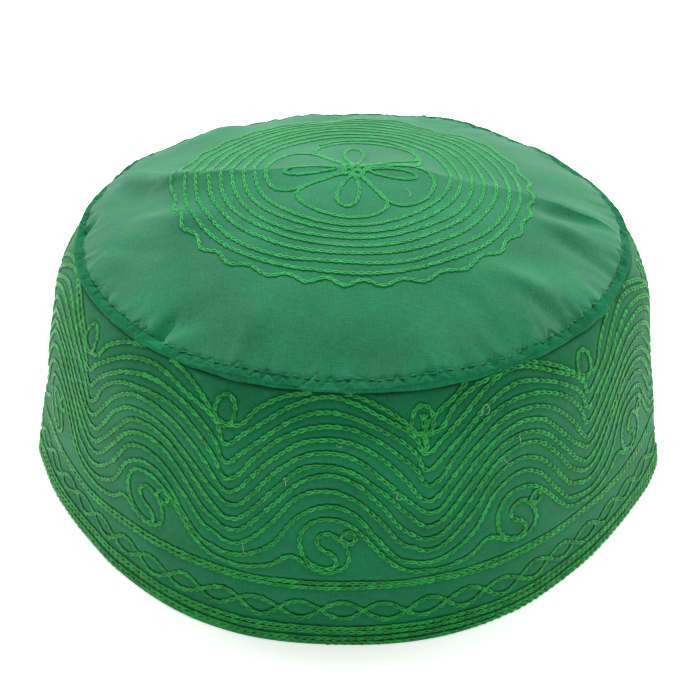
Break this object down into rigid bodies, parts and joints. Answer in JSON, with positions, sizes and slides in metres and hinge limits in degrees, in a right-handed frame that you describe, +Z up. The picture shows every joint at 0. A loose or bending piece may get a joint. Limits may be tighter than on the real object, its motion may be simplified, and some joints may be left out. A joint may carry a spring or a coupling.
{
  "type": "kufi cap",
  "caption": "Soft round brimless cap: a straight cloth band with a creased fold line at each end, closed by a low domed crown, with rows of chain stitching.",
  "frame": {"origin": "middle of the hem, on the surface that the cap stands on", "axes": "+Z up through the crown, X along the line on which the cap folds flat, -Y towards the front"},
  "size_m": [0.1928, 0.1796, 0.1044],
  "materials": {
    "band_cloth": "matte",
    "crown_cloth": "matte",
    "thread": "satin"
  },
  "bodies": {
    "root": {"side_band": "band_cloth", "crown": "crown_cloth"}
  },
  "joints": []
}
